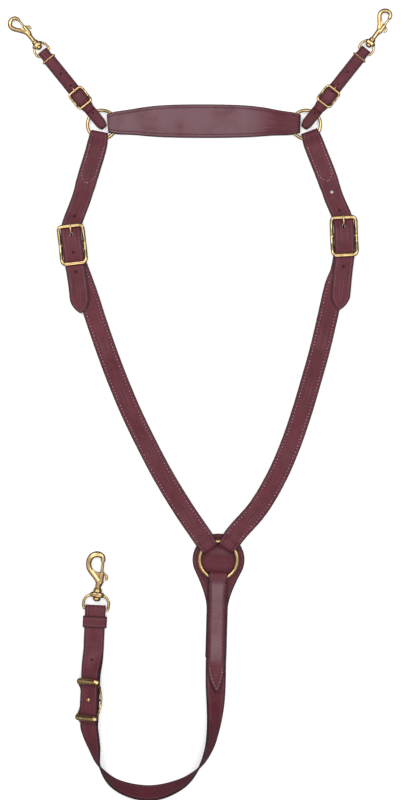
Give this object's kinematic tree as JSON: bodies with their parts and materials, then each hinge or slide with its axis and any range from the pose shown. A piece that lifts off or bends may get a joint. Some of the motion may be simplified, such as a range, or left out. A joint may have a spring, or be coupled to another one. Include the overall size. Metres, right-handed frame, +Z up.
{
  "type": "breast collar",
  "caption": "Leather breast collar with wither strap, shoulder straps, tugs and a girth strap, joined by round rings, with strap buckles and bolt snaps.",
  "frame": {"origin": "middle of the footprint, on the table's surface", "axes": "+Z up from the table, +Y from the chest towards the withers, +X to the viewer's right in the picture"},
  "size_m": [0.48, 0.987, 0.0269],
  "materials": {
    "bridle_leather": "dark burgundy bridle leather, waxed, with light contrast stitching",
    "lining_leather": "undyed-side lining leather of the same colour, matt",
    "solid_brass": "solid cast brass, polished",
    "spring_steel": "bright steel wire"
  },
  "bodies": {
    "harness": {"wither_strap": "bridle_leather", "wither_lining": "lining_leather", "billet_left": "bridle_leather", "shoulder_strap_left": "bridle_leather", "shoulder_lining_left": "lining_leather", "shoulder_buckle_left": "solid_brass", "billet_right": "bridle_leather", "shoulder_strap_right": "bridle_leather", "shoulder_lining_right": "lining_leather", "shoulder_buckle_right": "solid_brass"},
    "corner_ring_left": {"corner_ring_left": "solid_brass"},
    "tug_left": {"tug_strap_left": "bridle_leather", "tug_buckle_left": "solid_brass"},
    "shoulder_tongue_left": {"shoulder_tongue_left": "solid_brass"},
    "tug_tongue_left": {"tug_tongue_left": "solid_brass"},
    "tug_keeper_left": {"tug_keeper_left": "solid_brass"},
    "corner_ring_right": {"corner_ring_right": "solid_brass"},
    "tug_right": {"tug_strap_right": "bridle_leather", "tug_buckle_right": "solid_brass"},
    "shoulder_tongue_right": {"shoulder_tongue_right": "solid_brass"},
    "tug_tongue_right": {"tug_tongue_right": "solid_brass"},
    "tug_keeper_right": {"tug_keeper_right": "solid_brass"},
    "chest_ring": {"chest_ring": "solid_brass"},
    "tie": {"tie_strap": "bridle_leather", "chest_shield": "bridle_leather", "tie_buckle": "solid_brass"},
    "tie_keeper": {"tie_keeper": "bridle_leather"},
    "tug_snap_left_eye": {"tug_snap_left_eye": "solid_brass"},
    "tug_snap_left_body": {"tug_snap_left_body": "solid_brass", "tug_snap_left_spring": "spring_steel"},
    "tug_snap_left_bolt": {"tug_snap_left_bolt": "solid_brass"},
    "tug_snap_right_eye": {"tug_snap_right_eye": "solid_brass"},
    "tug_snap_right_body": {"tug_snap_right_body": "solid_brass", "tug_snap_right_spring": "spring_steel"},
    "tug_snap_right_bolt": {"tug_snap_right_bolt": "solid_brass"},
    "tie_snap_eye": {"tie_snap_eye": "solid_brass"},
    "tie_snap_body": {"tie_snap_body": "solid_brass", "tie_snap_spring": "spring_steel"},
    "tie_snap_bolt": {"tie_snap_bolt": "solid_brass"}
  },
  "joints": [
    {"name": "corner_ring_left_turn", "type": "hinge", "parent": "harness", "child": "corner_ring_left", "pos_m": [-0.12263, 0.34852, 0.00474], "axis": [0, 0, 1], "continuous": true},
    {"name": "tug_left_swing", "type": "hinge", "parent": "harness", "child": "tug_left", "pos_m": [-0.12263, 0.34852, 0.00474], "axis": [0, 0, 1], "range_deg": [-28, 10]},
    {"name": "shoulder_tongue_left_lift", "type": "hinge", "parent": "harness", "child": "shoulder_tongue_left", "pos_m": [-0.15933, 0.19912, 0.00444], "axis": [0.9936, 0.1132, 0], "range_deg": [0, 8]},
    {"name": "tug_tongue_left_lift", "type": "hinge", "parent": "tug_left", "child": "tug_tongue_left", "pos_m": [-0.14947, 0.38172, 0.00524], "axis": [0.7777, 0.6286, 0], "range_deg": [0, 8]},
    {"name": "tug_keeper_left_slide", "type": "slide", "parent": "tug_left", "child": "tug_keeper_left", "axis": [0.6286, -0.7777, 0], "range_m": [0, 0.022]},
    {"name": "corner_ring_right_turn", "type": "hinge", "parent": "harness", "child": "corner_ring_right", "pos_m": [0.13237, 0.34852, 0.00474], "axis": [0, 0, 1], "continuous": true},
    {"name": "tug_right_swing", "type": "hinge", "parent": "harness", "child": "tug_right", "pos_m": [0.13237, 0.34852, 0.00474], "axis": [0, 0, 1], "range_deg": [-10, 28]},
    {"name": "shoulder_tongue_right_lift", "type": "hinge", "parent": "harness", "child": "shoulder_tongue_right", "pos_m": [0.17967, 0.20972, 0.00444], "axis": [0.999, 0.0436, 0], "range_deg": [0, 8]},
    {"name": "tug_tongue_right_lift", "type": "hinge", "parent": "tug_right", "child": "tug_tongue_right", "pos_m": [0.16012, 0.38351, 0.00524], "axis": [0.7835, -0.6214, 0], "range_deg": [0, 8]},
    {"name": "tug_keeper_right_slide", "type": "slide", "parent": "tug_right", "child": "tug_keeper_right", "axis": [-0.6214, -0.7835, 0], "range_m": [0, 0.022]},
    {"name": "chest_ring_turn", "type": "hinge", "parent": "harness", "child": "chest_ring", "pos_m": [0.02307, -0.19468, 0.00834], "axis": [0, 0, 1], "continuous": true},
    {"name": "tie_swing", "type": "hinge", "parent": "harness", "child": "tie", "pos_m": [0.02307, -0.19468, 0.00834], "axis": [0, 0, 1], "range_deg": [-20, 20]},
    {"name": "tie_keeper_slide", "type": "slide", "parent": "tie", "child": "tie_keeper", "axis": [-0.0471, -0.9989, 0], "range_m": [0, 0.017]},
    {"name": "tug_snap_left_eye_swing", "type": "hinge", "parent": "tug_left", "child": "tug_snap_left_eye", "pos_m": [-0.19473, 0.43772, 0.00434], "axis": [-0.7694, -0.6388, 0], "range_deg": [-75, 75]},
    {"name": "tug_snap_left_swivel", "type": "hinge", "parent": "tug_snap_left_eye", "child": "tug_snap_left_body", "pos_m": [-0.20316, 0.44788, 0.00434], "axis": [-0.6388, 0.7694, 0], "continuous": true},
    {"name": "tug_snap_left_bolt_pull", "type": "slide", "parent": "tug_snap_left_body", "child": "tug_snap_left_bolt", "axis": [0.6388, -0.7694, 0], "range_m": [0, 0.00577], "stiffness_N_per_m": 400, "springref_m": -0.002, "deforming": ["tug_snap_left_spring"]},
    {"name": "tug_snap_right_eye_swing", "type": "hinge", "parent": "tug_right", "child": "tug_snap_right_eye", "pos_m": [0.20487, 0.43992, 0.00434], "axis": [-0.8171, 0.5764, 0], "range_deg": [-75, 75]},
    {"name": "tug_snap_right_swivel", "type": "hinge", "parent": "tug_snap_right_eye", "child": "tug_snap_right_body", "pos_m": [0.21248, 0.45071, 0.00434], "axis": [0.5764, 0.8171, 0], "continuous": true},
    {"name": "tug_snap_right_bolt_pull", "type": "slide", "parent": "tug_snap_right_body", "child": "tug_snap_right_bolt", "axis": [-0.5764, -0.8171, 0], "range_m": [0, 0.00577], "stiffness_N_per_m": 400, "springref_m": -0.002, "deforming": ["tug_snap_right_spring"]},
    {"name": "tie_snap_eye_swing", "type": "hinge", "parent": "tie", "child": "tie_snap_eye", "pos_m": [-0.13063, -0.25678, 0.00544], "axis": [-0.993, 0.1184, 0], "range_deg": [-75, 75]},
    {"name": "tie_snap_swivel", "type": "hinge", "parent": "tie_snap_eye", "child": "tie_snap_body", "pos_m": [-0.12844, -0.23841, 0.00544], "axis": [0.1184, 0.993, 0], "continuous": true},
    {"name": "tie_snap_bolt_pull", "type": "slide", "parent": "tie_snap_body", "child": "tie_snap_bolt", "axis": [-0.1184, -0.993, 0], "range_m": [0, 0.0075], "stiffness_N_per_m": 400, "springref_m": -0.002, "deforming": ["tie_snap_spring"]}
  ]
}
